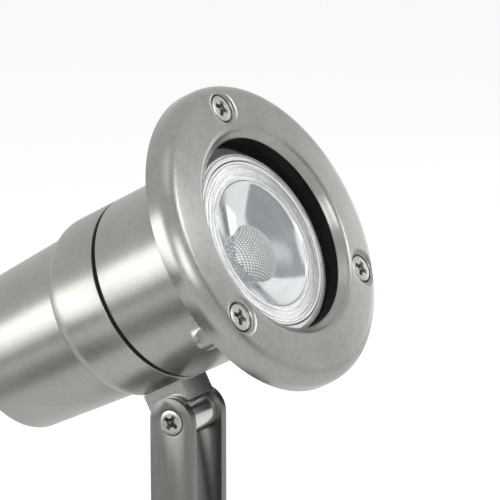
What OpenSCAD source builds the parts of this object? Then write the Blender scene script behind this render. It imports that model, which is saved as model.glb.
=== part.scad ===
// Garden spike spotlight. The origin is at soil level on the spike's axis, +Z up,
// and the lamp aims towards -Y. Head pieces are drawn in the head's own frame, where
// +Z is the light's direction, +Y is the head's top and zero is the flange's front face.

/* [Pose] */
// Angle of the light above the horizontal
head_elevation = 28.6; // [0:0.2:45]

/* [Bezel] */
// Outer diameter of the skirt at its rear edge
bezel_d = 89.2; // [88:0.2:96]
// Height from the rear edge to the inner edge of the face
bezel_h = 8; // [7.4:0.1:9]
// Radius that the skirt loses towards the front
bezel_draft = 0.7; // [0.2:0.1:1.2]
// Wall of the skirt
bezel_skirt = 1.8; // [1.2:0.1:2]
// Rounding of the front outer edge
bezel_edge = 2.4; // [1.6:0.1:2.8]
// Rise of the face from its outer to its inner edge
bezel_crown = 0.85; // [0.4:0.05:1.2]
// Width of the ring from the seal to the skirt's rear edge
bezel_band = 12.9; // [12.7:0.1:14]
// Width of the lip in front of the seal's bore
opening_lip = 0.55; // [0.2:0.05:0.9]
// Width of the flare round the opening
flare_w = 2.55; // [1.6:0.05:3.6]
// Depth of the flare
flare_h = 2.9; // [2.4:0.1:3.4]
// Straight land under the flare
land_h = 0.55; // [0.4:0.05:0.9]
// Wall of the rib that centres the seal
rib_wall = 1.2; // [0.8:0.1:1.6]
// Width of each rear tab
tab_w = 3.4; // [2:0.1:4]
// Length of each rear tab
tab_l = 2.7; // [1.5:0.1:4]
// Distance of each tab from the middle of its lug
tab_side = 0.9; // [0.4:0.1:2]

/* [Bezel screws] */
// Number of screws
screw_count = 3; // [3:1:5]
// Distance from the skirt's outer edge to the middle of each screw
screw_inset = 7.6; // [7:0.1:8]
// Diameter of the shank
screw_d = 4; // [3:0.1:4.2]
// Diameter of the head
screw_head_d = 7.5; // [6.5:0.1:7.8]
// Length with the head
screw_l = 12; // [10:0.5:12]
// Diameter of the countersink at the face
countersink_d = 9.4; // [8.6:0.1:9.8]
// Diameter of the bosses and lugs that take the screws
boss_d = 9.2; // [8.6:0.1:9.6]

/* [Glass and seal] */
// Thickness of the pane
glass_t = 3; // [2.5:0.1:3.5]
// Wall of the seal round the pane's edge
seal_side = 1.5; // [1.1:0.1:1.9]
// Width of each lip over the pane
seal_hold = 1.7; // [1.2:0.1:2]
// Thickness of each lip
seal_lip = 0.7; // [0.5:0.1:1]

/* [Front housing] */
// Radial clearance of the lamp in the tube
lamp_gap = 0.2; // [0.1:0.05:0.4]
// Wall of the spigot
spigot_wall = 1.15; // [1:0.05:1.3]
// Length from the flange's front face to the seam
front_l = 36.6; // [34:0.2:44]
// Width of the flange round the hub
flange_w = 3.3; // [2:0.1:5]
// Thickness of the flange
flange_t = 3.4; // [2.5:0.1:4]
// Wall of the hub round the lamp's rim
hub_wall = 3.3; // [2.5:0.1:4]
// Length of the hub with the flange
hub_l = 7; // [6.6:0.1:8]
// Step from the seal's bore in to the chamber for the lamp's rim
chamber_step = 0.1; // [0.05:0.05:0.3]
// Depth of the chamber
chamber_h = 5.8; // [5.4:0.1:6]
// Length of the lugs
lug_l = 5.6; // [4.6:0.1:7]
// Length of the spigot behind the front tube
spigot_l = 15; // [12:0.2:15.6]

/* [Seam] */
// Thickness of the rubber ring in the seam
joint_seal_t = 0.9; // [0.6:0.1:1.4]
// Depth of the ring under the tubes' surface
joint_seal_inset = 0.15; // [0.05:0.05:0.3]
// Radial clearance between spigot and sleeve
joint_gap = 0.1; // [0.05:0.05:0.2]

/* [Rear housing] */
// Wall of the sleeve
sleeve_wall = 1.1; // [0.9:0.05:1.4]
// Length of the straight sleeve
sleeve_l = 14.6; // [14:0.2:20]
// Length of the rounded shoulder
shoulder_l = 8.9; // [7:0.1:10]
// Radius lost over the shoulder
shoulder_step = 2.55; // [2:0.05:3]
// Length of the tapered tail
tail_l = 34.5; // [33:0.5:50]
// Radius lost over the tail
tail_taper = 1.6; // [0.8:0.1:2]
// Wall of the tail
tail_wall = 1.9; // [1.4:0.1:2.2]
// Thickness of the end wall
end_wall = 3; // [2:0.1:4]
// Rounding of the rear outer edge
rear_edge = 1.2; // [0.6:0.1:2]

/* [Knuckle] */
// Distance of the pivot below the tubes' surface
pivot_rise = 9.35; // [8.5:0.05:12]
// Distance of the pivot behind the seam's front edge
pivot_back = 10.2; // [9:0.1:12]
// Width of the block
knuckle_w = 12.6; // [12.4:0.1:16]
// Length of the block along the tube
knuckle_l = 14.4; // [13:0.1:16]
// Distance from the pivot up to the block's lower face
knuckle_rise = 3.9; // [3:0.1:5]
// Diameter of the eye
eye_d = 11.2; // [9:0.1:12.4]
// Diameter of the pivot screw's shank
pivot_d = 4; // [3:0.1:5]
// Diameter of the pivot screw's head
pivot_head_d = 7.2; // [6.8:0.1:8]
// Radial clearance of the pivot screw in the eye and of the bolt in the web
pivot_gap = 0.05; // [0.02:0.01:0.09]

/* [Yoke] */
// Thickness of the ears and the web
ear_t = 2.5; // [2.3:0.1:4]
// Width of the ears
ear_w = 14.4; // [13:0.2:17]
// Clearance between the block and each ear
ear_gap = 0.2; // [0.1:0.05:0.4]
// Height from the web to the pivot
yoke_h = 45.5; // [44:0.5:70]
// Inner radius of the bends
bend_r = 1; // [0.5:0.1:1.1]

/* [Yoke bolt] */
// Diameter of the bolt
bolt_d = 6; // [5:0.5:6]
// Width of its head across the flats
bolt_af = 10; // [8:0.5:10]
// Height of its head
bolt_head_h = 4; // [3:0.1:5]
// Length of its shank
bolt_l = 30; // [24:1:34]
// Diameter of the plain washer
washer_d = 10.8; // [10:0.1:10.8]
// Thickness of the plain washer
washer_t = 1.6; // [1:0.1:2]
// Diameter of the split washer
split_d = 10.4; // [9.8:0.1:11]
// Thickness of the split washer
split_t = 1.5; // [1:0.1:2]

/* [Spike] */
// Diameter of the spike's collar
collar_d = 46; // [40:1:60]
// Thickness of the collar
collar_t = 4; // [3:0.2:6]
// Length of the spike below soil level
spike_l = 180; // [140:5:220]
// Width across the blades at the top
blade_w = 34; // [30:1:38]
// Thickness of the blades
blade_t = 4; // [3:0.2:6]
// Diameter of the core round the insert
core_d = 20; // [18:0.5:24]
// Thickness of the core under the bolt's tip
core_floor = 3; // [2:0.5:8]
// Rounding of the collar's upper edge
collar_edge = 1; // [0.4:0.1:1.5]
// Diameter of the insert
insert_d = 10; // [9:0.2:12]
// Length of the insert
insert_l = 18; // [12:1:22]

/* [Lamp] */
// Least clearance between the lamp's collar and the chamber
collar_gap = 0.15; // [0.1:0.05:0.3]
// Wall of the collar round the lamp's rim
collar_wall = 1.65; // [1.4:0.05:1.8]
// Length of the lamp without its pins
lamp_l = 47; // [45:0.2:47]
// Distance that the lamp sits below the tube's axis
lamp_drop = 1.5; // [0:0.1:1.5]
// Distance of the lamp's face behind the flange's front face
lamp_inset = 0.4; // [0.2:0.1:0.8]
// Height of the lamp's rim
lamp_rim_h = 4.2; // [3.6:0.1:4.6]
// Width of the annulus round the lamp's aperture
annulus_w = 5.8; // [5:0.1:8]
// Diameter of the dome
dome_d = 17.4; // [14:0.2:18]
// Height of the dome
dome_h = 5; // [4:0.1:5.6]
// Pitch of the honeycomb on the dome
dome_pitch = 2; // [1.8:0.1:3]

/* [Cable gland] */
// Bore of the rubber seal that takes the cable
cable_bore_d = 7.2; // [6:0.1:8]
// Diameter of the gland's thread
gland_d = 16; // [15:0.5:18]
// Width of the gland's hexagons across the flats
gland_af = 20; // [19.5:0.5:22]

/* [Hidden] */
$fn = 96;

// Overrun of every cut
cut = 1;
// Clearance of pieces that are seated and never move
seat_gap = 0.1;
// Gap between the bezel's bosses and the housing's lugs
boss_gap = 0.3;
// Edge of a screw head above its cone
head_edge = 0.25;
// Depth of a cross recess, and its arms as shares of the head
recess_h = 1.3;
arm_share = 0.56;
slot_share = 0.15;
// Steps of a rounded outline
round_steps = 8;

// Diameters of the nested pieces, from the bezel inwards and from the lamp outwards
seal_d = bezel_d - 2 * bezel_band;
glass_d = seal_d - 2 * seal_side;
seal_bore_d = glass_d - 2 * seal_hold;
opening_d = seal_bore_d - 2 * opening_lip;
flare_d = opening_d + 2 * flare_w;
chamber_d = seal_bore_d - 2 * chamber_step;
hub_d = chamber_d + 2 * hub_wall;
flange_d = hub_d + 2 * flange_w;
lamp_collar_d = chamber_d - 2 * (lamp_drop + collar_gap);
lamp_d = lamp_collar_d - 2 * (collar_wall + seat_gap);
tube_bore_d = lamp_d + 2 * lamp_gap;
spigot_d = tube_bore_d + 2 * spigot_wall;
tube_d = spigot_d + 2 * (joint_gap + sleeve_wall);
aperture_d = lamp_d - 2 * annulus_w;

// Heights along the head's axis
seal_front = 2 * seal_lip + glass_t;
flare_back = seal_front + land_h;
face_top = flare_back + flare_h;
face_edge = face_top - bezel_crown;
bezel_back = face_top - bezel_h;
seam_front = -front_l;
seam_back = seam_front - joint_seal_t;
sleeve_back = seam_back - sleeve_l;
shoulder_back = sleeve_back - shoulder_l;
rear_end = shoulder_back - tail_l;
spigot_back = seam_front - spigot_l;
plate_t = 1.5;
plate_back = spigot_back - plate_t;
pivot_s = seam_front - pivot_back;
lamp_face = -lamp_inset;
lamp_back = lamp_face - lamp_l;

// Radii of the head
bezel_r = bezel_d / 2;
front_r = bezel_r - bezel_draft;
skirt_in_r = front_r - bezel_skirt;
rib_r = seal_d / 2 + seat_gap;
tube_r = tube_d / 2;
foot_r = tube_r - shoulder_step;
rear_r = foot_r - tail_taper;
tail_bore_r = rear_r - tail_wall;
sleeve_bore_r = spigot_d / 2 + joint_gap;
screw_r = bezel_r - screw_inset;
face_at_screw = face_top
    - bezel_crown * (screw_r - flare_d / 2) / (front_r - bezel_edge - flare_d / 2);
head_seat = face_at_screw - (countersink_d - screw_head_d) / 2;

// Yoke
pivot_drop = tube_r + pivot_rise;
ear_in = knuckle_w / 2 + ear_gap;
ear_out = ear_in + ear_t;
web_top = collar_t + ear_t;
pivot_z = web_top + yoke_h;
washers_top = web_top + washer_t + split_t;

// Lamp, measured from its face
rim_recess = 0.2;
optic_t = 2.2;
rim_wall = 1;
rim_lip = 0.8;
body_front_r = lamp_d / 2 - rim_wall - rim_lip;
body_back_share = 0.31;
body_l_share = 0.76;
base_share = 0.26;
body_back_r = lamp_d * body_back_share;
body_l = lamp_l * body_l_share;
base_r = lamp_d * base_share;
base_l = lamp_l - body_l;
funnel_h = 7.4;
funnel_wall = 1;
dome_skirt = 3;
board_t = 1.6;
board_margin = 3;
board_r = dome_d / 2 + board_margin;
dome_foot = -(funnel_h - rim_recess);
board_top = dome_foot - dome_skirt;
pin_pitch_share = 0.2;
pin_pitch = lamp_d * pin_pitch_share;
pin_d = 3;
pin_head_d = pin_pitch / 2;
pin_head_h = 2.5;
pin_l = 7;

// Lamp holder, plate and terminals
holder_share = 0.28;
ear_span_share = 0.88;
holder_screw_share = 0.36;
holder_r = lamp_d * holder_share;
holder_l = 14.6;
ear_span = lamp_d * ear_span_share;
ear_depth = holder_r;
holder_screw_x = lamp_d * holder_screw_share;
holder_screw_d = 3;
holder_head_d = 5.4;
holder_head_h = 1.8;
wire_hole_d = 5;
tongue_share = 0.74;
tongue_w = tail_bore_r * tongue_share;
tongue_gap = 0.8;
tongue_y = -(holder_r + lamp_drop + tongue_gap);
tongue_t = 1.2;
block_w_share = 0.88;
block_h_share = 0.5;
block_w = tail_bore_r * block_w_share;
block_h = tail_bore_r * block_h_share;
block_l = 18;
block_gap = 1;
block_mid = lamp_back - holder_l - block_gap - block_l / 2;
tongue_back = block_mid - block_l / 2 - tongue_t;
pole_count = 3;
pole_share = 0.63;
pole_screw_share = 0.475;
pole_pitch = block_w / pole_count;
pole_d = pole_pitch * pole_share;
pole_screw_d = pole_pitch * pole_screw_share;
earth_d = 3.5;
earth_head_d = 7;
earth_gap = 0.2;
earth_y = foot_r - tail_wall - earth_head_d / 2 - earth_gap;

// Cable gland
gland_hex_h = 5;
locknut_h = 4;
gland_core_d = 10.4;
gland_thread_d = 14.6;
gland_thread_l = 8;
gland_seal_d = 12.4;
gland_seal_l = 9;
gland_nut_l = 12;
gland_nut_hole_d = 9.4;

// Points of an arc
function arc(x, y, r, from, to) = [for (i = [0 : round_steps])
    let (a = from + (to - from) * i / round_steps) [x + r * cos(a), y + r * sin(a)]];

// Puts the head's frame at its place on the pivot
module in_head() {
    translate([0, 0, pivot_z]) rotate([90 - head_elevation, 0, 0])
        translate([0, pivot_drop, -pivot_s]) children();
}

module in_lamp() {
    in_head() translate([0, -lamp_drop, lamp_face]) children();
}

// Copies children to each bezel screw
module at_screws() {
    for (i = [0 : screw_count - 1])
        rotate(90 + i * 360 / screw_count) translate([screw_r, 0, 0]) children();
}

module ring(outer_d, inner_d, h) {
    difference() {
        cylinder(d = outer_d, h = h);
        translate([0, 0, -cut]) cylinder(d = inner_d, h = h + 2 * cut);
    }
}

module hexagon(af, h) {
    cylinder(d = af / cos(30), h = h, $fn = 6);
}

// Cross recess in a head of diameter d, cut down from zero
module cross_recess(d, depth) {
    arm = d * arm_share;
    slot = d * slot_share;
    for (a = [0, 90])
        rotate(45 + a) translate([-arm / 2, -slot / 2, -depth]) cube([arm, slot, depth + cut]);
}

// Countersunk screw with its head's top at zero, pointing down
module countersunk_screw(head_d, shank_d, l) {
    cone_h = (head_d - shank_d) / 2;
    difference() {
        union() {
            translate([0, 0, -head_edge]) cylinder(d = head_d, h = head_edge);
            translate([0, 0, -head_edge - cone_h]) cylinder(d1 = shank_d, d2 = head_d, h = cone_h);
            translate([0, 0, -l]) cylinder(d = shank_d, h = l - head_edge);
        }
        cross_recess(head_d, recess_h);
    }
}

// Pan-head screw with its seat at zero, pointing down
module pan_screw(head_d, head_h, shank_d, l) {
    difference() {
        union() {
            cylinder(d = head_d, h = head_h);
            translate([0, 0, -l]) cylinder(d = shank_d, h = l);
        }
        translate([0, 0, head_h]) cross_recess(head_d, head_h / 2);
    }
}

module bezel_ring() {
    plate_z = seal_front;
    outline = concat(
        [[bezel_r, bezel_back]],
        arc(front_r - bezel_edge, face_edge - bezel_edge, bezel_edge, 0, 90),
        [[flare_d / 2, face_top], [opening_d / 2, flare_back], [opening_d / 2, seal_front],
         [rib_r, seal_front], [rib_r, boss_gap], [rib_r + rib_wall, boss_gap],
         [rib_r + rib_wall, plate_z], [skirt_in_r, plate_z], [skirt_in_r, bezel_back]]);
    color("silver") in_head() difference() {
        union() {
            rotate_extrude() polygon(outline);
            intersection() {
                at_screws() translate([0, 0, boss_gap]) cylinder(d = boss_d, h = seal_front);
                ring(2 * skirt_in_r + bezel_skirt, 2 * rib_r, face_edge);
            }
            intersection() {
                translate([0, 0, bezel_back - tab_l])
                    ring(2 * bezel_r, 2 * skirt_in_r, tab_l + bezel_draft);
                at_screws() translate([0, -tab_side - tab_w, bezel_back - tab_l])
                    cube([boss_d + bezel_skirt + cut, tab_w, tab_l + seal_front]);
            }
        }
        at_screws() {
            translate([0, 0, boss_gap - cut]) cylinder(r = screw_d / 2 + boss_gap, h = face_top + cut);
            translate([0, 0, face_at_screw - countersink_d / 2]) cylinder(d1 = 0,
                d2 = countersink_d + 2 * cut, h = countersink_d / 2 + cut);
        }
    }
}

module bezel_screws() {
    color("gainsboro") in_head() at_screws() translate([0, 0, head_seat + head_edge])
        countersunk_screw(screw_head_d, screw_d, screw_l);
}

module front_glass() {
    color("azure", 0.35) in_head() translate([0, 0, seal_lip]) cylinder(d = glass_d, h = glass_t);
}

module glass_seal() {
    color("dimgray") in_head() difference() {
        ring(seal_d, seal_bore_d, seal_front);
        translate([0, 0, seal_lip]) cylinder(d = glass_d, h = glass_t);
    }
}

module front_housing() {
    hub_foot = hub_l + (hub_d - tube_d) / 2;
    outline = [[chamber_d / 2, 0], [flange_d / 2, 0], [flange_d / 2, -flange_t],
        [hub_d / 2, -flange_t], [hub_d / 2, -hub_l], [tube_r, -hub_foot], [tube_r, seam_front],
        [spigot_d / 2, seam_front], [spigot_d / 2, spigot_back],
        [tube_bore_d / 2, spigot_back], [tube_bore_d / 2, -chamber_h],
        [chamber_d / 2, -chamber_h]];
    color("silver") in_head() difference() {
        union() {
            rotate_extrude() polygon(outline);
            at_screws() translate([0, 0, -lug_l]) {
                cylinder(d = boss_d, h = lug_l);
                translate([-screw_r + hub_d / 2 - seat_gap, -boss_d / 2, 0])
                    cube([screw_r - hub_d / 2 + seat_gap, boss_d, lug_l]);
            }
        }
        at_screws() translate([0, 0, -lug_l - cut])
            cylinder(r = screw_d / 2 + pivot_gap, h = lug_l + 2 * cut);
    }
}

module joint_seal() {
    color("black") in_head() translate([0, 0, seam_back])
        ring(tube_d - 2 * joint_seal_inset, spigot_d + 2 * joint_gap, joint_seal_t);
}

module rear_housing() {
    // The shoulder is an arc that starts along the sleeve and drops by the step
    bow_r = (shoulder_l * shoulder_l + shoulder_step * shoulder_step) / (2 * shoulder_step);
    bow_end = asin(shoulder_l / bow_r);
    shoulder = [for (i = [0 : round_steps]) let (a = bow_end * i / round_steps)
        [tube_r - bow_r * (1 - cos(a)), sleeve_back - bow_r * sin(a)]];
    inner_end = rear_end + end_wall;
    slope = (foot_r - rear_r) / tail_l;
    outline = concat(
        [[sleeve_bore_r, seam_back], [tube_r, seam_back]],
        shoulder,
        arc(rear_r - rear_edge, rear_end + rear_edge, rear_edge, 0, -90),
        [[0, rear_end], [0, inner_end], [rear_r + slope * end_wall - tail_wall, inner_end],
         [foot_r - tail_wall, shoulder_back], [foot_r - tail_wall, plate_back],
         [sleeve_bore_r, plate_back]]);
    color("silver") in_head() difference() {
        rotate_extrude() polygon(outline);
        translate([0, 0, rear_end - cut]) cylinder(d = gland_d + 2 * seat_gap, h = end_wall + 2 * cut);
    }
}

module knuckle_block() {
    color("darkgray") in_head() difference() {
        union() {
            translate([-knuckle_w / 2, -pivot_drop + knuckle_rise, pivot_s - knuckle_l / 2])
                cube([knuckle_w, pivot_drop - knuckle_rise - foot_r, knuckle_l]);
            translate([-knuckle_w / 2, -pivot_drop, pivot_s]) rotate([0, 90, 0])
                cylinder(d = eye_d, h = knuckle_w);
        }
        translate([0, 0, pivot_s - knuckle_l]) cylinder(r = tube_r, h = 2 * knuckle_l);
        translate([-knuckle_w / 2 - cut, -pivot_drop, pivot_s]) rotate([0, 90, 0])
            cylinder(r = pivot_d / 2 + pivot_gap, h = knuckle_w + 2 * cut);
    }
}

module lamp_collar() {
    color("whitesmoke") in_lamp() translate([0, 0, -lamp_rim_h])
        ring(lamp_collar_d, lamp_d + 2 * seat_gap, lamp_rim_h);
}

module lamp_shell() {
    rim_in = lamp_d / 2 - rim_wall;
    outline = [[lamp_d / 2, 0], [lamp_d / 2, -lamp_rim_h], [body_front_r, -lamp_rim_h],
        [body_back_r, -body_l], [0, -body_l], [0, board_top - board_t],
        [board_r + seat_gap, board_top - board_t], [board_r + seat_gap, board_top],
        [aperture_d / 2 + funnel_wall + seat_gap, -rim_recess - optic_t],
        [rim_in, -rim_recess - optic_t], [rim_in, 0]];
    color("whitesmoke") in_lamp() rotate_extrude() polygon(outline);
}

module lamp_optic() {
    hole_r = dome_d / 2 + seat_gap;
    outer_r = lamp_d / 2 - rim_wall - seat_gap;
    floor_z = dome_foot - funnel_wall;
    outline = [[outer_r, -rim_recess], [aperture_d / 2, -rim_recess],
        [hole_r + funnel_wall, dome_foot], [hole_r, dome_foot], [hole_r, floor_z],
        [hole_r + funnel_wall, floor_z],
        [aperture_d / 2 + funnel_wall, -rim_recess - optic_t],
        [outer_r, -rim_recess - optic_t]];
    color("aliceblue", 0.6) in_lamp() rotate_extrude() polygon(outline);
}

// Dome whose surface carries a honeycomb of small lenses, one closed net of triangles
module lamp_dome() {
    rings = 20;
    sectors = 84;
    foot_r = dome_d / 2;
    cap_r = (foot_r * foot_r + dome_h * dome_h) / (2 * dome_h);
    bump_share = 0.07;
    bump = dome_pitch * bump_share;
    wave = 360 / (dome_pitch * sin(60));
    // Sum of three waves 120 degrees apart, which peaks on a hexagonal lattice
    function comb(x, y) = cos(wave * x) + cos(wave * (x * cos(120) + y * sin(120)))
        + cos(wave * (x * cos(240) + y * sin(240)));
    function cap_z(r) = sqrt(cap_r * cap_r - r * r) - (cap_r - dome_h);
    function dome_z(x, y, share) = cap_z(norm([x, y])) + bump * comb(x, y) * (1 - share ^ 6);
    skin = [for (i = [1 : rings]) for (j = [0 : sectors - 1])
        let (share = i / rings, r = foot_r * share, a = 360 * j / sectors)
        [r * cos(a), r * sin(a), dome_z(r * cos(a), r * sin(a), share)]];
    foot = [for (j = [0 : sectors - 1]) let (a = 360 * j / sectors)
        [foot_r * cos(a), foot_r * sin(a), -dome_skirt]];
    points = concat(skin, foot, [[0, 0, dome_z(0, 0, 0)], [0, 0, -dome_skirt]]);
    top = len(skin) + sectors;
    faces = concat(
        [for (j = [0 : sectors - 1]) [top, (j + 1) % sectors, j]],
        [for (i = [0 : rings - 1]) for (j = [0 : sectors - 1])
            let (a = i * sectors + j, b = i * sectors + (j + 1) % sectors)
            [a, b, b + sectors]],
        [for (i = [0 : rings - 1]) for (j = [0 : sectors - 1])
            let (a = i * sectors + j, b = i * sectors + (j + 1) % sectors)
            [a, b + sectors, a + sectors]],
        [for (j = [0 : sectors - 1])
            [top + 1, rings * sectors + j, rings * sectors + (j + 1) % sectors]]);
    color("ghostwhite") in_lamp() translate([0, 0, dome_foot]) polyhedron(points, faces);
}

module led_board() {
    color("khaki") in_lamp() translate([0, 0, board_top - board_t])
        cylinder(r = board_r, h = board_t);
}

module lamp_base() {
    color("white") in_lamp() translate([0, 0, -lamp_l]) cylinder(r = base_r, h = base_l);
}

module lamp_pins() {
    color("lightgray") in_lamp() for (side = [-1, 1])
        translate([side * pin_pitch / 2, 0, -lamp_l - pin_l]) {
            cylinder(d = pin_head_d, h = pin_head_h);
            translate([0, 0, pin_head_h]) cylinder(d = pin_d, h = pin_l - pin_head_h);
        }
}

module lamp_holder() {
    slot_d = pin_head_d + 2 * seat_gap;
    flange_h = lamp_back - spigot_back;
    color("ivory") in_head() translate([0, -lamp_drop, 0]) difference() {
        union() {
            translate([0, 0, lamp_back - holder_l]) cylinder(r = holder_r, h = holder_l);
            translate([-ear_span / 2, -ear_depth / 2, spigot_back])
                cube([ear_span, ear_depth, flange_h]);
        }
        for (side = [-1, 1]) {
            translate([side * pin_pitch / 2, 0, lamp_back - pin_l - seat_gap])
                cylinder(d = slot_d, h = pin_l + seat_gap + cut);
            translate([side * holder_screw_x, 0, spigot_back - cut])
                cylinder(d = holder_screw_d + 2 * seat_gap, h = flange_h + 2 * cut);
        }
    }
}

module holder_plate() {
    color("lightsteelblue") in_head() difference() {
        union() {
            translate([0, 0, plate_back]) cylinder(d = spigot_d, h = plate_t);
            translate([-tongue_w / 2, tongue_y - tongue_t, tongue_back])
                cube([tongue_w, tongue_t, spigot_back - tongue_back]);
        }
        translate([0, -lamp_drop, plate_back - cut]) {
            cylinder(r = holder_r + seat_gap, h = plate_t + 2 * cut);
            for (side = [-1, 1]) translate([side * holder_screw_x, 0, 0])
                cylinder(d = holder_screw_d + 2 * seat_gap, h = plate_t + 2 * cut);
        }
        for (side = [-1, 1]) rotate(side * 45) translate([0, earth_y, plate_back - cut])
            cylinder(d = wire_hole_d, h = plate_t + 2 * cut);
        translate([0, earth_y, plate_back - cut])
            cylinder(d = earth_d + 2 * seat_gap, h = plate_t + 2 * cut);
    }
}

module holder_screws() {
    flange_h = lamp_back - spigot_back;
    color("gainsboro") in_head() for (side = [-1, 1])
        translate([side * holder_screw_x, -lamp_drop, lamp_back])
            pan_screw(holder_head_d, holder_head_h, holder_screw_d, flange_h + plate_t);
}

module terminal_block() {
    color("beige") in_head() difference() {
        translate([-block_w / 2, tongue_y, block_mid - block_l / 2])
            cube([block_w, block_h, block_l]);
        for (pole = [-1 : 1]) {
            translate([pole * pole_pitch, tongue_y + block_h / 2, block_mid - block_l])
                cylinder(d = pole_d, h = 2 * block_l);
            for (side = [-1, 1])
                translate([pole * pole_pitch, tongue_y + block_h / 2, block_mid + side * block_l / 4])
                    rotate([-90, 0, 0]) cylinder(d = pole_screw_d + 2 * seat_gap, h = block_h);
        }
    }
}

module terminal_screws() {
    shank_l = block_h / 2 - recess_h;
    color("goldenrod") in_head() for (pole = [-1 : 1]) for (side = [-1, 1])
        translate([pole * pole_pitch, tongue_y + block_h / 2, block_mid + side * block_l / 4])
            rotate([-90, 0, 0]) cylinder(d = pole_screw_d, h = shank_l);
}

module earth_screw() {
    color("darkseagreen") in_head() translate([0, earth_y, plate_back]) rotate([180, 0, 0])
        pan_screw(earth_head_d, plate_t, earth_d, plate_t);
}

module gland_body() {
    inner_end = rear_end + end_wall;
    thread_back = rear_end - gland_hex_h - gland_thread_l;
    color("lightgray") in_head() difference() {
        union() {
            translate([0, 0, rear_end]) cylinder(d = gland_d, h = end_wall + locknut_h);
            translate([0, 0, rear_end - gland_hex_h]) hexagon(gland_af, gland_hex_h);
            translate([0, 0, thread_back]) cylinder(d = gland_thread_d, h = gland_thread_l);
        }
        translate([0, 0, thread_back - cut])
            cylinder(d = gland_core_d, h = inner_end + locknut_h - thread_back + 2 * cut);
        translate([0, 0, thread_back - cut])
            cylinder(d = gland_seal_d + 2 * seat_gap, h = gland_seal_l + cut);
    }
}

module gland_locknut() {
    color("lightgray") in_head() translate([0, 0, rear_end + end_wall]) difference() {
        hexagon(gland_af, locknut_h);
        translate([0, 0, -cut]) cylinder(d = gland_d + 2 * seat_gap, h = locknut_h + 2 * cut);
    }
}

module gland_seal() {
    seal_back = rear_end - gland_hex_h - gland_thread_l;
    color("dimgray") in_head() translate([0, 0, seal_back])
        ring(gland_seal_d, cable_bore_d, gland_seal_l);
}

module gland_nut() {
    nut_front = rear_end - gland_hex_h;
    thread_back = nut_front - gland_thread_l;
    nut_back = nut_front - gland_nut_l;
    color("lightgray") in_head() difference() {
        intersection() {
            translate([0, 0, nut_back]) hexagon(gland_af, gland_nut_l);
            translate([0, 0, nut_back]) cylinder(d1 = gland_d, d2 = gland_d + 2 * gland_nut_l,
                h = gland_nut_l);
        }
        translate([0, 0, thread_back])
            cylinder(d = gland_thread_d + 2 * seat_gap, h = gland_thread_l + cut);
        translate([0, 0, nut_back - cut]) cylinder(d = gland_nut_hole_d, h = gland_nut_l);
    }
}

module yoke() {
    out_r = bend_r + ear_t;
    // Section of the bent strip, drawn across the ears
    module section() {
        difference() {
            union() {
                translate([-ear_out, out_r]) square([2 * ear_out, yoke_h + ear_t + ear_w]);
                translate([-ear_out + out_r, 0]) square([2 * (ear_out - out_r), out_r]);
                for (side = [-1, 1]) translate([side * (ear_out - out_r), out_r]) circle(r = out_r);
            }
            translate([-ear_in, ear_t + bend_r]) square([2 * ear_in, yoke_h + 2 * ear_w]);
            translate([-ear_in + bend_r, ear_t]) square([2 * (ear_in - bend_r), 2 * bend_r]);
            for (side = [-1, 1])
                translate([side * (ear_in - bend_r), ear_t + bend_r]) circle(r = bend_r);
        }
    }
    color("silver") difference() {
        intersection() {
            translate([0, ear_w / 2, collar_t]) rotate([90, 0, 0]) linear_extrude(ear_w) section();
            union() {
                translate([-ear_out, -ear_w / 2, collar_t])
                    cube([2 * ear_out, ear_w, ear_t + yoke_h]);
                translate([-ear_out, 0, pivot_z]) rotate([0, 90, 0])
                    cylinder(d = ear_w, h = 2 * ear_out);
            }
        }
        translate([-ear_out - cut, 0, pivot_z]) rotate([0, 90, 0])
            cylinder(r = pivot_d / 2 + pivot_gap, h = 2 * (ear_out + cut));
        translate([-ear_out - cut, 0, pivot_z]) rotate([0, 90, 0])
            cylinder(d1 = pivot_head_d + 2 * (cut + head_edge), d2 = 0,
                h = pivot_head_d / 2 + cut + head_edge);
        translate([0, 0, collar_t - cut])
            cylinder(r = bolt_d / 2 + pivot_gap, h = ear_t + 2 * cut);
    }
}

module pivot_screw() {
    color("gainsboro") translate([-ear_out, 0, pivot_z]) rotate([0, -90, 0])
        countersunk_screw(pivot_head_d, pivot_d, 2 * ear_out - head_edge);
}

module yoke_bolt() {
    color("gainsboro") {
        translate([0, 0, washers_top]) hexagon(bolt_af, bolt_head_h);
        translate([0, 0, washers_top - bolt_l]) cylinder(d = bolt_d, h = bolt_l);
    }
}

module plain_washer() {
    color("lightgray") translate([0, 0, web_top])
        ring(washer_d, bolt_d + 2 * seat_gap, washer_t);
}

module split_washer() {
    color("lightgray") translate([0, 0, web_top + washer_t]) difference() {
        ring(split_d, bolt_d + 2 * seat_gap, split_t);
        translate([0, -split_t / 2, -cut]) cube([split_d, split_t / 2, split_t + 2 * cut]);
    }
}

module spike_insert() {
    color("darkgoldenrod") translate([0, 0, collar_t - insert_l])
        ring(insert_d, bolt_d + 2 * seat_gap, insert_l);
}

module ground_spike() {
    tip_r = blade_t / 4;
    bolt_tip = washers_top - bolt_l;
    core_back = bolt_tip - core_floor;
    outline = concat([[0, 0], [collar_d / 2, 0]],
        arc(collar_d / 2 - collar_edge, collar_t - collar_edge, collar_edge, 0, 90),
        [[0, collar_t]]);
    color("#2b2b2b") difference() {
        union() {
            rotate_extrude() polygon(outline);
            translate([0, 0, core_back]) cylinder(d = core_d, h = -core_back);
            translate([0, 0, core_back - core_d]) cylinder(d1 = blade_t, d2 = core_d, h = core_d);
            intersection() {
                translate([0, 0, -spike_l]) cylinder(r1 = tip_r, r2 = blade_w / 2, h = spike_l);
                for (a = [0, 90]) rotate(a) translate([-blade_w, -blade_t / 2, -spike_l])
                    cube([2 * blade_w, blade_t, spike_l]);
            }
        }
        translate([0, 0, collar_t - insert_l]) cylinder(d = insert_d, h = insert_l + cut);
        translate([0, 0, bolt_tip - seat_gap]) cylinder(d = bolt_d + 2 * seat_gap, h = -bolt_tip);
    }
}

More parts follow.
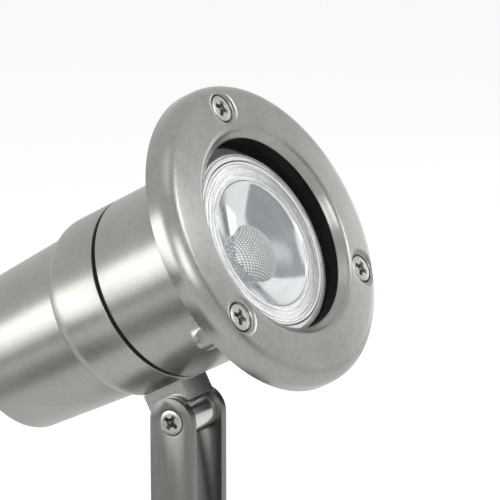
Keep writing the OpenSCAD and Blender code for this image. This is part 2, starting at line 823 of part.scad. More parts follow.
bezel_ring();
bezel_screws();
front_glass();
glass_seal();
front_housing();
joint_seal();
rear_housing();
knuckle_block();
lamp_collar();
lamp_shell();
lamp_optic();
lamp_dome();
led_board();
lamp_base();
lamp_pins();
lamp_holder();
holder_plate();
holder_screws();
terminal_block();
terminal_screws();
earth_screw();
gland_body();
gland_locknut();
gland_seal();
gland_nut();
yoke();
pivot_screw();
yoke_bolt();
plain_washer();
split_washer();
spike_insert();
ground_spike();
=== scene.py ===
import math
import bpy
import bmesh
from mathutils import Matrix, Vector


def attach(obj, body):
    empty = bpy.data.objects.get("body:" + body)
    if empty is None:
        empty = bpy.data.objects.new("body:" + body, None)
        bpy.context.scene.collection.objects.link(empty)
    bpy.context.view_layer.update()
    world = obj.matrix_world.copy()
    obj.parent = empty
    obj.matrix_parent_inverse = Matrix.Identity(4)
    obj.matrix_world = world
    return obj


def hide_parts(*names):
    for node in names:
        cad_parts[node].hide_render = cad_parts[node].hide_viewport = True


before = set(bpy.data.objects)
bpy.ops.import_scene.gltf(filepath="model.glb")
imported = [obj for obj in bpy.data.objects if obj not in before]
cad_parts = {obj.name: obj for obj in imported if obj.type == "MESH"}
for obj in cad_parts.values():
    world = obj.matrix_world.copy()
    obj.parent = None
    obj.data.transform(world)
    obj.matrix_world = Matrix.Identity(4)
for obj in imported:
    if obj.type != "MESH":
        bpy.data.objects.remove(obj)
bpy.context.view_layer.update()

print("stage: frame loaded")

mm = 0.001


def shifted(x=0, y=0, z=0):
    return Matrix.Translation((x * mm, y * mm, z * mm))


def spun(degrees, axis="Z"):
    return Matrix.Rotation(math.radians(degrees), 4, axis)


# The head's own frame: zero on the flange's face, +Z along the light, +Y at the head's top
head = {
    "elevation": 28.6,
    "pivotHeight": 52,     # above soil level
    "pivotBack": 46.8,     # behind the flange's face
    "pivotDrop": 36.9,     # below the head's axis
    "screws": 3, "firstScrew": 90, "screwCircle": 37,
    "lampShift": (0.8, -1.5, 0.6),     # the lamp sits a little off the axis
}
headPlace = (shifted(z=head["pivotHeight"]) @ spun(90 - head["elevation"], "X")
             @ shifted(0, head["pivotDrop"], head["pivotBack"]))
headAxis = headPlace.to_3x3() @ Vector((0, 0, 1))
lampPlace = headPlace @ shifted(*head["lampShift"])
pivotPlace = shifted(z=head["pivotHeight"]) @ spun(-90, "Y")     # its axis runs out of the near ear
soilPlace = Matrix.Identity(4)

overrun = 3         # mm that a cutting tool runs past what it cuts
squareOn = 0.9      # of a face's normal along Z, when the face looks straight up or down


def clearSelection():
    if bpy.context.object and bpy.context.object.mode != "OBJECT":
        bpy.ops.object.mode_set(mode="OBJECT")
    bpy.ops.object.select_all(action="DESELECT")


def makeActive(piece):
    clearSelection()
    piece.select_set(True)
    bpy.context.view_layer.objects.active = piece


def editPiece(piece):
    makeActive(piece)
    bpy.ops.object.mode_set(mode="EDIT")
    bpy.ops.mesh.select_all(action="DESELECT")


def pickEdges(piece, test):
    bpy.ops.mesh.select_mode(type="EDGE")
    bpy.ops.mesh.select_all(action="DESELECT")
    net = bmesh.from_edit_mesh(piece.data)
    for edge in net.edges:
        if test(edge.verts[0].co, edge.verts[1].co):
            edge.select_set(True)
    bmesh.update_edit_mesh(piece.data)


def pickFaces(piece, test):
    bpy.ops.mesh.select_mode(type="FACE")
    bpy.ops.mesh.select_all(action="DESELECT")
    net = bmesh.from_edit_mesh(piece.data)
    for face in net.faces:
        if test(face.calc_center_median(), face.normal):
            face.select_set(True)
    bmesh.update_edit_mesh(piece.data)


def pullOut(length):
    # what is selected is extruded along Z
    bpy.ops.mesh.extrude_region_move(TRANSFORM_OT_translate={"value": (0, 0, length)})


def bevelPicked(size, segments):
    bpy.ops.mesh.bevel(offset=size * mm, segments=segments, affect="EDGES")


def readPoint(sizes, point):
    # "radius height edge" by the names of the piece's sizes, unless it is given as numbers
    if not isinstance(point, str):
        return point
    radius, height, *edge = [sizes[name] for name in point.split()]
    return (radius, height, *edge[0]) if edge else (radius, height)


def turned(name, sizes, *points, steps="steps", ring=False):
    # points in mm: (radius, height), or (radius, height, rounding, segments)
    profile = [readPoint(sizes, point) for point in points]
    clearSelection()
    radius, height = profile[0][0] * mm, profile[0][1] * mm
    bpy.ops.mesh.primitive_circle_add(vertices=sizes[steps], radius=radius,
                                      fill_type="NOTHING" if ring else "NGON")
    piece = bpy.context.object
    piece.name = piece.data.name = name
    bpy.ops.object.mode_set(mode="EDIT")
    bpy.ops.mesh.select_mode(type="EDGE")
    bpy.ops.mesh.select_all(action="SELECT")
    bpy.ops.transform.translate(value=(0, 0, height))
    for point in profile[1:]:
        nextRadius, nextHeight = point[0] * mm, point[1] * mm
        pullOut(nextHeight - height)
        grow = nextRadius / radius
        bpy.ops.transform.resize(value=(grow, grow, 1), center_override=(0, 0, nextHeight))
        radius, height = nextRadius, nextHeight
    if ring:
        bpy.ops.mesh.select_all(action="DESELECT")
        bpy.ops.mesh.select_non_manifold()
        bpy.ops.mesh.bridge_edge_loops()
    bpy.ops.mesh.select_all(action="SELECT")
    bpy.ops.mesh.normals_make_consistent(inside=False)
    near = 2e-6
    for point in profile:
        if len(point) > 2:
            r, z = point[0] * mm, point[1] * mm
            pickEdges(piece, lambda a, b: all(
                abs(math.hypot(v.x, v.y) - r) < near and abs(v.z - z) < near for v in (a, b)))
            bevelPicked(*point[2:])
    bpy.ops.object.mode_set(mode="OBJECT")
    return piece


def block(name, low, high):
    clearSelection()
    middle = [(a + b) / 2 * mm for a, b in zip(low, high)]
    bpy.ops.mesh.primitive_cube_add(size=1, location=middle)
    piece = bpy.context.object
    piece.name = piece.data.name = name
    piece.scale = [(b - a) * mm for a, b in zip(low, high)]
    bpy.ops.object.transform_apply(location=True, rotation=True, scale=True)
    return piece


def moved(piece, place):
    makeActive(piece)
    piece.matrix_world = place @ piece.matrix_world
    bpy.ops.object.transform_apply(location=True, rotation=True, scale=True)
    return piece


def applyModifier(piece, kind, **settings):
    modifier = piece.modifiers.new("modifier", kind)
    for key, value in settings.items():
        setattr(modifier, key, value)
    makeActive(piece)
    bpy.ops.object.modifier_apply(modifier=modifier.name)


def combine(piece, other, operation="DIFFERENCE"):
    applyModifier(piece, "BOOLEAN", operation=operation, object=other, solver="EXACT")
    bpy.data.objects.remove(other, do_unlink=True)
    return piece


def soften(piece, width, segments, angle):
    applyModifier(piece, "BEVEL", width=width * mm, segments=segments, limit_method="ANGLE",
                  angle_limit=math.radians(angle), harden_normals=False)


def workIn(piece, operation, sizes, *points, steps="steps", place=soilPlace):
    # a turned boss or tool is put in its place and combined with the piece
    tool = turned("tool", sizes, *points, steps=steps)
    return combine(piece, moved(tool, place), operation)


def drill(piece, radius, low, high, steps, place=soilPlace):
    workIn(piece, "DIFFERENCE", {"steps": steps}, (radius, low), (radius, high), place=place)


def looksDown(centre, normal):
    return normal.z < -squareOn


def taperedBlock(name, low, high, taper):
    # a block whose foot is scaled across and along by the taper
    piece = block(name, low, high)
    editPiece(piece)
    pickFaces(piece, looksDown)
    bpy.ops.transform.resize(value=(*taper, 1), center_override=(0, 0, low[2] * mm))
    bpy.ops.object.mode_set(mode="OBJECT")
    return piece


def copyOf(piece, name):
    made = piece.copy()
    made.data = piece.data.copy()
    made.name = made.data.name = name
    bpy.context.scene.collection.objects.link(made)
    return made


def settle(piece, place, body, slotName, material, *nodes, smooth=32):
    # puts a finished piece in the row's frame, gives it its finish and lets it ride
    moved(piece, place)
    bpy.ops.object.shade_smooth_by_angle(angle=math.radians(smooth))
    piece.data.materials.clear()
    piece.data.materials.append(material)
    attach(piece, body)
    if nodes:
        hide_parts(*nodes)
    return piece


def atScrew(index):
    # place of one of the three screws in the head's frame
    return spun(head["firstScrew"] + 360 / head["screws"] * index) @ shifted(head["screwCircle"])


# Shader groups: each is built once and placed in the materials with its own values

def startGroup(name, inputs, outputs):
    tree = bpy.data.node_groups.new(name, "ShaderNodeTree")
    for label, kind in inputs:
        tree.interface.new_socket(label, in_out="INPUT", socket_type=kind)
    for label, kind in outputs:
        tree.interface.new_socket(label, in_out="OUTPUT", socket_type=kind)
    return tree, tree.nodes.new("NodeGroupInput"), tree.nodes.new("NodeGroupOutput")


def fill(tree, node, values):
    # each input gets its value, or a link from another node's output
    for key, value in values.items():
        if isinstance(value, bpy.types.NodeSocket):
            tree.links.new(value, node.inputs[key])
        else:
            node.inputs[key].default_value = value


def addNode(tree, kind, values=None, **settings):
    node = tree.nodes.new(kind)
    for key, value in settings.items():
        setattr(node, key, value)
    fill(tree, node, values or {})
    return node


def mathNode(tree, operation, *values):
    return addNode(tree, "ShaderNodeMath", dict(enumerate(values)), operation=operation).outputs[0]


def mapped(tree, value, low=0.0, high=1.0, fromLow=0.0, fromHigh=1.0):
    return addNode(tree, "ShaderNodeMapRange", {
        "Value": value, "From Min": fromLow, "From Max": fromHigh,
        "To Min": low, "To Max": high}).outputs[0]


def mixed(tree, factor, first, second):
    return addNode(tree, "ShaderNodeMix", {0: factor, 6: first, 7: second}, data_type="RGBA",
                   blend_type="MIX").outputs[2]


def noiseNode(tree, place, scale, detail, roughness, distortion=0.0):
    return addNode(tree, "ShaderNodeTexNoise", {
        "Vector": place, "Scale": scale, "Detail": detail, "Roughness": roughness,
        "Distortion": distortion}).outputs["Fac"]


def makeTurnedPlace():
    # brush lines run round the axis, on a tube as on a face
    tree, start, end = startGroup("turnedPlace", [
        ("Place", "NodeSocketVector"), ("Round", "NodeSocketFloat"),
        ("Across", "NodeSocketFloat")], [("Place", "NodeSocketVector")])
    parts = addNode(tree, "ShaderNodeSeparateXYZ", {0: start.outputs["Place"]})
    x, y, z = parts.outputs
    radius = mathNode(tree, "SQRT", mathNode(tree, "ADD", mathNode(tree, "MULTIPLY", x, x),
                                             mathNode(tree, "MULTIPLY", y, y)))
    safe = mathNode(tree, "ADD", radius, 1e-5)      # never zero on the axis
    across = mathNode(tree, "MULTIPLY", mathNode(tree, "ADD", z, radius), start.outputs["Across"])
    round1 = mathNode(tree, "MULTIPLY", mathNode(tree, "DIVIDE", x, safe), start.outputs["Round"])
    round2 = mathNode(tree, "MULTIPLY", mathNode(tree, "DIVIDE", y, safe), start.outputs["Round"])
    joined = addNode(tree, "ShaderNodeCombineXYZ", {0: round1, 1: round2, 2: across})
    tree.links.new(joined.outputs[0], end.inputs[0])
    return tree


def makeBrushMarks():
    # long marks with fine ones between them, a satin speckle, and slow cloudiness over all
    tree, start, end = startGroup("brushMarks", [
        ("Line Place", "NodeSocketVector"), ("Cloud Place", "NodeSocketVector"),
        ("Cloud Scale", "NodeSocketFloat"), ("Speckle", "NodeSocketFloat")], [
        ("Marks", "NodeSocketFloat"), ("Clouds", "NodeSocketFloat"), ("Height", "NodeSocketFloat")])
    linePlace, cloudPlace = start.outputs["Line Place"], start.outputs["Cloud Place"]
    coarse = noiseNode(tree, linePlace, scale=0.35, detail=3.0, roughness=0.65)
    fine = noiseNode(tree, linePlace, scale=1.3, detail=2.0, roughness=0.6)
    speckle = noiseNode(tree, cloudPlace, scale=2200.0, detail=2.0, roughness=0.75)
    clouds = noiseNode(tree, cloudPlace, start.outputs["Cloud Scale"], detail=4.0, roughness=0.6,
                       distortion=0.6)
    both = mathNode(tree, "ADD", mathNode(tree, "MULTIPLY", coarse, 0.5),
                    mathNode(tree, "MULTIPLY", fine, 0.5))
    share = start.outputs["Speckle"]
    both = mathNode(tree, "ADD", mathNode(tree, "MULTIPLY", speckle, share),
                    mathNode(tree, "MULTIPLY", both, mathNode(tree, "SUBTRACT", 1.0, share)))
    fill(tree, end, {"Marks": mapped(tree, both, fromLow=0.28, fromHigh=0.72),
                     "Clouds": mapped(tree, clouds, fromLow=0.3, fromHigh=0.7), "Height": both})
    return tree


turnedPlace = makeTurnedPlace()
brushMarks = makeBrushMarks()


def startMaterial(name, values):
    material = bpy.data.materials.new(name)
    material.use_nodes = True
    tree = material.node_tree
    shader = next(n for n in tree.nodes if n.type == "BSDF_PRINCIPLED")
    fill(tree, shader, values)
    return material, tree, shader


def ownPlace(tree, place):
    # object coordinates, turned and centred on the piece's own frame
    coordinates = addNode(tree, "ShaderNodeTexCoord")
    return addNode(tree, "ShaderNodeMapping", {
        "Vector": coordinates.outputs["Object"], "Location": place.to_translation(),
        "Rotation": place.to_euler()}, vector_type="TEXTURE").outputs[0]


def turnedLines(tree, local, finish):
    return addNode(tree, "ShaderNodeGroup", {
        "Place": local, "Round": finish["round"], "Across": finish["across"]},
        node_tree=turnedPlace).outputs[0]


def bumped(tree, height, distance):
    return addNode(tree, "ShaderNodeBump", {
        "Height": height, "Distance": distance * mm, "Strength": 1.0}).outputs[0]


def brushedSteel(name, finish, place, straight=None):
    # turned parts are brushed round the axis, strip along straight, a scale for each direction
    material, tree, shader = startMaterial(name, {
        "Metallic": 1.0, "Anisotropic": finish["anisotropic"], "IOR": 1.5})
    local = ownPlace(tree, place)
    if straight:
        lines = addNode(tree, "ShaderNodeMapping", {"Vector": local, "Scale": straight}).outputs[0]
    else:
        lines = turnedLines(tree, local, finish)
        # the sheen spreads across the brush lines
        coordinates = addNode(tree, "ShaderNodeTexCoord")
        away = addNode(tree, "ShaderNodeVectorMath", {
            0: coordinates.outputs["Object"], 1: place.to_translation()}, operation="SUBTRACT")
        axis = place.to_3x3() @ Vector((0, 0, 1))
        roundWay = addNode(tree, "ShaderNodeVectorMath", {0: axis, 1: away.outputs[0]},
                           operation="CROSS_PRODUCT")
        acrossWay = addNode(tree, "ShaderNodeVectorMath", {
            0: roundWay.outputs[0], 1: coordinates.outputs["Normal"]}, operation="CROSS_PRODUCT")
        outWay = addNode(tree, "ShaderNodeVectorTransform", {0: acrossWay.outputs[0]},
                         vector_type="VECTOR", convert_from="OBJECT", convert_to="WORLD")
        fill(tree, shader, {"Tangent": outWay.outputs[0]})
    marks = addNode(tree, "ShaderNodeGroup", {
        "Line Place": lines, "Cloud Place": local, "Cloud Scale": finish["clouds"],
        "Speckle": finish["speckle"]}, node_tree=brushMarks)
    lined = mixed(tree, marks.outputs["Marks"], finish["dark"], finish["light"])
    clouds = mapped(tree, marks.outputs["Clouds"], high=finish["cloudy"])
    fill(tree, shader, {
        "Base Color": mixed(tree, clouds, lined, finish["dark"]),
        "Roughness": mapped(tree, marks.outputs["Marks"], finish["smooth"], finish["rough"]),
        "Normal": bumped(tree, marks.outputs["Height"], finish["depth"])})
    return material


tubeFinish = {
    "light": (0.385, 0.379, 0.363, 1), "dark": (0.262, 0.257, 0.245, 1), "anisotropic": 0.6,
    "round": 14.0, "across": 2600.0, "clouds": 45.0, "cloudy": 0.45, "speckle": 0.45,
    "smooth": 0.31, "rough": 0.40, "depth": 0.008,
}
bezelFinish = {
    "light": (0.385, 0.378, 0.361, 1), "dark": (0.245, 0.24, 0.227, 1), "anisotropic": 0.7,
    "round": 30.0, "across": 1300.0, "clouds": 50.0, "cloudy": 0.5, "speckle": 0.35,
    "smooth": 0.25, "rough": 0.36, "depth": 0.007,
}
# the strip's steel colours are the tube's steel darkened: painted shade, as the yoke lies in shade
# under the head
shadedStripFinish = dict(tubeFinish, light=(0.21, 0.207, 0.198, 1), dark=(0.14, 0.138, 0.131, 1),
                   anisotropic=0.0, smooth=0.28, rough=0.38, speckle=0.25, depth=0.005)
# the block's steel colours are lighter than the tube's: painted light for its lit faces
litBlockFinish = dict(shadedStripFinish, light=(0.62, 0.613, 0.595, 1), dark=(0.54, 0.533, 0.516, 1),
                   smooth=0.19, rough=0.23, speckle=0.05, depth=0.001)
screwFinish = dict(tubeFinish, light=(0.48, 0.472, 0.455, 1), dark=(0.36, 0.353, 0.338, 1),
                   anisotropic=0.3, smooth=0.22, rough=0.34, across=3500.0, depth=0.008)

tubeSteel = brushedSteel("tubeSteel", tubeFinish, headPlace)
bezelSteel = brushedSteel("bezelSteel", bezelFinish, headPlace)
blockSteel = brushedSteel("blockSteel", litBlockFinish, headPlace, straight=(900, 900, 90))
yokeSteel = brushedSteel("yokeSteel", shadedStripFinish, soilPlace, straight=(1200, 1200, 70))
plateSteel = brushedSteel("plateSteel", dict(shadedStripFinish, smooth=0.3, rough=0.38), headPlace,
                          straight=(1500, 60, 1500))
pivotSteel = brushedSteel("pivotSteel", screwFinish, pivotPlace)
boltSteel = brushedSteel("boltSteel", screwFinish, soilPlace)
glandSteel = brushedSteel("glandSteel", dict(screwFinish, smooth=0.24, rough=0.34), headPlace)
screwSteels = [brushedSteel(f"screwSteel{index + 1}", screwFinish, headPlace @ atScrew(index))
               for index in range(head["screws"])]


def moulded(name, finish, place):
    # plastic, rubber and ceramic: fine grain with slow changes of tone
    material, tree, shader = startMaterial(name, {
        "IOR": 1.5, "Coat Weight": finish.get("coat", 0.0), "Coat Roughness": 0.08,
        "Specular IOR Level": finish.get("specular", 0.5)})
    local = ownPlace(tree, place)
    grain = noiseNode(tree, local, finish["grain"], detail=4.0, roughness=0.6)
    tone = noiseNode(tree, local, finish["tone"], detail=2.0, roughness=0.5)
    tone = mapped(tree, tone, fromLow=0.3, fromHigh=0.7)
    fill(tree, shader, {
        "Base Color": mixed(tree, tone, finish["light"], finish["dark"]),
        "Roughness": mapped(tree, grain, finish["smooth"], finish["rough"]),
        "Normal": bumped(tree, grain, finish["depth"])})
    return material


sealRubber = moulded("sealRubber", {
    "light": (0.013, 0.0125, 0.0112, 1), "dark": (0.009, 0.0086, 0.0077, 1), "grain": 1800.0,
    "tone": 120.0, "smooth": 0.5, "rough": 0.7, "depth": 0.01, "specular": 0.05}, headPlace)
spikePlastic = moulded("spikePlastic", {
    "light": (0.035, 0.035, 0.036, 1), "dark": (0.022, 0.022, 0.023, 1), "grain": 1500.0,
    "tone": 40.0, "smooth": 0.36, "rough": 0.56, "depth": 0.05}, soilPlace)
ceramicWhite = moulded("ceramicWhite", {
    "light": (0.74, 0.71, 0.65, 1), "dark": (0.66, 0.63, 0.57, 1), "grain": 1300.0,
    "tone": 90.0, "smooth": 0.5, "rough": 0.75, "depth": 0.03}, headPlace)
terminalWhite = moulded("terminalWhite", {
    "light": (0.72, 0.7, 0.64, 1), "dark": (0.66, 0.64, 0.58, 1), "grain": 900.0,
    "tone": 80.0, "smooth": 0.35, "rough": 0.5, "depth": 0.02}, headPlace)
boardYellow = moulded("boardYellow", {
    "light": (0.62, 0.56, 0.28, 1), "dark": (0.5, 0.45, 0.2, 1), "grain": 1100.0,
    "tone": 400.0, "smooth": 0.4, "rough": 0.6, "depth": 0.02}, lampPlace)
lampWhite = moulded("lampWhite", {
    "light": (0.86, 0.87, 0.87, 1), "dark": (0.8, 0.81, 0.82, 1), "grain": 700.0,
    "tone": 130.0, "smooth": 0.14, "rough": 0.26, "depth": 0.01, "coat": 0.4}, lampPlace)
terminalBrass = brushedSteel("terminalBrass", dict(
    screwFinish, light=(0.78, 0.58, 0.25, 1), dark=(0.62, 0.44, 0.17, 1)), headPlace)
pinMetal = brushedSteel("pinMetal", dict(screwFinish, smooth=0.12, rough=0.2), lampPlace)
insertBrass = brushedSteel("insertBrass", dict(
    screwFinish, light=(0.74, 0.56, 0.26, 1), dark=(0.6, 0.43, 0.18, 1)), soilPlace)
print("stage: steels and plastics")


def clearMaterial(name, colour, bend, glint, place):
    material, tree, shader = startMaterial(name, {
        "Base Color": colour, "Transmission Weight": 1.0, "IOR": bend,
        "Specular Tint": (glint, glint, glint, 1)})
    haze = noiseNode(tree, ownPlace(tree, place), scale=90.0, detail=3.0, roughness=0.6)
    fill(tree, shader, {"Roughness": mapped(tree, haze, high=0.02, fromLow=0.45, fromHigh=0.75)})
    return material


def streaked(name, finish):
    # mirrored or frosted plastic of the lamp, with fine rings that catch the light
    material, tree, shader = startMaterial(name, {
        "Metallic": finish["metallic"], "IOR": 1.49})
    local = ownPlace(tree, lampPlace)
    noise = noiseNode(tree, turnedLines(tree, local, finish), scale=1.0, detail=3.0,
                      roughness=0.6)
    marks = mapped(tree, noise, fromLow=0.35, fromHigh=0.65)
    fill(tree, shader, {
        "Base Color": mixed(tree, marks, finish["dark"], finish["light"]),
        "Roughness": mapped(tree, marks, finish["smooth"], finish["rough"]),
        "Normal": bumped(tree, noise, finish["depth"])})
    return material


paneGlass = clearMaterial("paneGlass", colour=(0.99, 0.993, 0.992, 1), bend=1.45, glint=0.14,
                          place=headPlace)
collarClear = streaked("collarClear", {
    "light": (0.97, 0.97, 0.965, 1), "dark": (0.66, 0.665, 0.66, 1), "metallic": 0.6,
    "round": 2.2, "across": 1700.0, "smooth": 0.08, "rough": 0.22, "depth": 0.05})
opticClear = streaked("opticClear", {
    "light": (0.98, 0.985, 0.99, 1), "dark": (0.78, 0.79, 0.80, 1), "metallic": 0.8,
    "round": 2.2, "across": 2000.0, "smooth": 0.06, "rough": 0.2, "depth": 0.12})
funnelMirror = streaked("funnelMirror", {
    "light": (0.80, 0.83, 0.845, 1), "dark": (0.74, 0.775, 0.79, 1), "metallic": 1.0,
    "round": 1.2, "across": 200.0, "smooth": 0.08, "rough": 0.12, "depth": 0.0004})


# painted shade for the border of each honeycomb cell and painted highlight for its middle
domeCellShading = {"border": (0.12, 0.13, 0.135, 1), "middle": (0.70, 0.716, 0.724, 1)}


def makeDomeMaterial():
    # the mesh carries how far each point is from the border of its cell in the honeycomb; the
    # colour is painted shade at each border and painted highlight in each middle, with fine grain
    # over it
    material, tree, shader = startMaterial("domeClear", {
        "Metallic": 0.35, "IOR": 1.49, "Coat Weight": 0.6, "Coat Roughness": 0.06})
    local = ownPlace(tree, lampPlace)
    cells = addNode(tree, "ShaderNodeAttribute", attribute_name="cells").outputs["Fac"]
    grain = noiseNode(tree, local, scale=900.0, detail=3.0, roughness=0.6)
    cellShadeAndGrain = mathNode(tree, "ADD", mapped(tree, cells, high=0.8, fromLow=0.1, fromHigh=0.5),
                     mapped(tree, grain, low=-0.15, high=0.35))
    fill(tree, shader, {
        "Base Color": mixed(tree, cellShadeAndGrain, domeCellShading["border"], domeCellShading["middle"]),
        "Roughness": mapped(tree, grain, low=0.1, high=0.22),
        "Normal": bumped(tree, grain, distance=0.01)})
    return material


domeClear = makeDomeMaterial()

# Every CAD node gets a finish too; those that a piece replaces are hidden later
nodeFinish = [
    (boardYellow, "led_board"), (ceramicWhite, "lamp_base lamp_holder"), (pinMetal, "lamp_pins"),
    (plateSteel, "holder_plate holder_screws"), (terminalWhite, "terminal_block"),
    (terminalBrass, "terminal_screws earth_screw"), (insertBrass, "spike_insert"),
    (bezelSteel, "bezel_ring"), (screwSteels[0], "bezel_screws"), (paneGlass, "front_glass"),
    (sealRubber, "glass_seal joint_seal gland_seal"), (tubeSteel, "front_housing rear_housing"),
    (blockSteel, "knuckle_block"), (collarClear, "lamp_collar"), (lampWhite, "lamp_shell"),
    (opticClear, "lamp_optic"), (domeClear, "lamp_dome"), (yokeSteel, "yoke"),
    (glandSteel, "gland_body gland_nut gland_locknut"), (pivotSteel, "pivot_screw"),
    (boltSteel, "yoke_bolt plain_washer split_washer"), (spikePlastic, "ground_spike"),
]
for nodeMaterial, nodeNames in nodeFinish:
    for nodeName in nodeNames.split():
        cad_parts[nodeName].material_slots[0].material = nodeMaterial
print("stage: materials")


bezel = {
    "skirtRadius": 44.6, "rear": -0.15, "rearEdge": (0.25, 2),
    "frontRadius": 44.35, "faceOuter": 7.3, "crownEdge": (4.2, 12),
    "flareRadius": 30.5, "faceInner": 7.85, "flareEdge": (1.2, 8),
    "throatRadius": 29.6, "throatTop": 6.7, "throatEdge": (0.7, 3),
    "lipRadius": 28.2, "lipTop": 5.55, "lipEdge": (0.1, 2), "lipBack": 5.3,
    "sealRebate": 29.4, "plateBack": 4.4,
    "ribOuter": 33.0, "ribInner": 31.8, "bossGap": 0.3, "bossRadius": 4.6, "bossTop": 4.9,
    "skirtInner": 42.1, "innerEdge": (0.2, 2),
    # degrees from the screw; a tab takes the rear faces outside tabInner and behind tabLevel
    "tabFrom": -6, "tabTo": -1.5, "tabLength": 2.7, "tabInner": 42.2, "tabLevel": -0.1,
    "faceAtScrew": 7.6, "crownTilt": 2.3,
    # radius and height of a countersink: hole, seat, then a mouth that runs out softly
    "sink": [(2.3, -7.4), (2.3, -3.0), (4.2, -1.15), (4.25, -0.75), (4.45, -0.5), (4.75, -0.32),
             (5.15, -0.17), (5.65, -0.05), (6.2, 0.03), (6.9, 0.08), (7.0, 3)],
    "steps": 240, "bossSteps": 48, "sinkSteps": 72,
}


def makeBezel():
    b = bezel
    ring = turned("bezelRing", b, "skirtRadius rear rearEdge", "frontRadius faceOuter crownEdge",
                  "flareRadius faceInner flareEdge", "throatRadius throatTop throatEdge",
                  "lipRadius lipTop lipEdge", "lipRadius lipBack", "sealRebate lipBack",
                  "sealRebate plateBack", "ribInner plateBack", "ribInner bossGap",
                  "ribOuter bossGap", "ribOuter plateBack", "skirtInner plateBack",
                  "skirtInner rear innerEdge", ring=True)
    # tabs: faces of the rear edge beside each screw, pulled back
    editPiece(ring)

    def onTab(centre, normal):
        if not looksDown(centre, normal) or centre.z > b["tabLevel"] * mm:
            return False
        turn = math.degrees(math.atan2(centre.y, centre.x)) - head["firstScrew"]
        apart = 360 / head["screws"]
        return (math.hypot(centre.x, centre.y) >= b["tabInner"] * mm
                and b["tabFrom"] < turn % apart - apart < b["tabTo"])
    pickFaces(ring, onTab)
    pullOut(-b["tabLength"] * mm)
    bpy.ops.object.mode_set(mode="OBJECT")
    for index in range(head["screws"]):
        workIn(ring, "UNION", b, "bossRadius bossGap", "bossRadius bossTop", steps="bossSteps",
               place=atScrew(index))
    for index in range(head["screws"]):
        tilted = atScrew(index) @ shifted(z=b["faceAtScrew"]) @ spun(b["crownTilt"], "Y")
        workIn(ring, "DIFFERENCE", b, *b["sink"], steps="sinkSteps", place=tilted)
    return settle(ring, headPlace, "head", "bezel_steel", bezelSteel, "bezel_ring", smooth=24)


screws = {
    "bezelHead": 3.75, "bezelLength": 12, "bezelSeat": 6.8, "bezelTurns": (8, -22, 31),
    "pivotHead": 3.6, "pivotLength": 17.75, "pivotSeat": 8.95, "pivotTurn": 17,
    "shank": 2, "tipChamfer": 0.5, "steps": 96,
    # the head's face is very slightly domed; shoulder is a share of its radius
    "middle": 0.6, "middleTop": 0.06, "shoulder": 0.7, "shoulderTop": 0.03, "rimTop": -0.04,
    "rimEdge": (0.1, 3), "seatTop": -0.25, "seatEdge": (0.05, 1),
}
cross = {"arm": 5.6, "slot": 1.45, "depth": 2.6, "top": 1, "turns": (45, 135),
         "taper": (0.45, 0.6), "point": 0.2, "pointBack": -2.9, "cone": 1.3775, "coneBack": -0.65,
         "coneTop": 0.9, "steps": 24}


def crossCutter():
    # a tapered cross with a pointed middle, as a driver's tip leaves it
    c = cross
    cutter = None
    for angle in c["turns"]:
        bar = taperedBlock("bar", (-c["arm"] / 2, -c["slot"] / 2, -c["depth"]),
                           (c["arm"] / 2, c["slot"] / 2, c["top"]), c["taper"])
        moved(bar, spun(angle))
        cutter = combine(cutter, bar, "UNION") if cutter else bar
    return workIn(cutter, "UNION", c, "point pointBack", "cone coneBack", "cone coneTop")


def makeScrew(name, headRadius, length):
    s = screws
    screw = turned(name, s, (s["middle"], s["middleTop"]),
                   (headRadius * s["shoulder"], s["shoulderTop"]),
                   (headRadius, s["rimTop"], *s["rimEdge"]),
                   (headRadius, s["seatTop"], *s["seatEdge"]),
                   (s["shank"], s["seatTop"] - (headRadius - s["shank"])),
                   (s["shank"], s["tipChamfer"] - length), (s["shank"] - s["tipChamfer"], -length))
    return combine(screw, crossCutter())


def makeBezelScrews():
    s = screws
    first = makeScrew("bezelScrew1", s["bezelHead"], s["bezelLength"])
    made = [first, copyOf(first, "bezelScrew2"), copyOf(first, "bezelScrew3")]
    for index, screw in enumerate(made):
        # each was driven home at its own angle
        place = atScrew(index) @ shifted(z=s["bezelSeat"]) @ spun(s["bezelTurns"][index])
        settle(screw, headPlace @ place, "head", "screw_steel", screwSteels[index], "bezel_screws")


pane = {"radius": 30.2, "back": 0.75, "front": 1.75, "chamfer": 0.15, "steps": 160}
seal = {
    "lip": 28.05, "lipBack": -3.2, "lipEdge": (0.15, 2), "paneBack": 0.78, "groove": 29.6,
    "paneFront": 1.72, "wall": 28.35, "top": 5.34, "rebate": 29.35, "plate": 4.4, "outer": 31.7,
    "flange": 0, "steps": 160,
}
jointSeal = {"outer": 26.9, "inner": 26.4, "back": -37.8, "front": -36.35, "edge": (0.2, 2),
             "steps": 160}


def makePaneAndSeals():
    p = pane
    glass = turned("glassPane", p, (p["radius"] - p["chamfer"], p["back"]),
                   (p["radius"], p["back"] + p["chamfer"]),
                   (p["radius"], p["front"] - p["chamfer"]),
                   (p["radius"] - p["chamfer"], p["front"]))
    settle(glass, headPlace, "head", "pane_glass", paneGlass, "front_glass")
    glass.visible_shadow = False     # light reaches the lamp through it
    rubber = turned("glassSeal", seal, "lip lipBack lipEdge", "lip paneBack", "groove paneBack",
                    "groove paneFront", "wall paneFront", "wall top", "rebate top", "rebate plate",
                    "outer plate", "outer flange", "wall flange", "wall lipBack", ring=True)
    settle(rubber, headPlace, "head", "seal_rubber", sealRubber, "glass_seal")
    joint = turned("jointSeal", jointSeal, "outer back edge", "outer front edge", "inner front",
                   "inner back", ring=True)
    settle(joint, headPlace, "head", "seal_rubber", sealRubber, "joint_seal")
    print("stage: pane and seals")


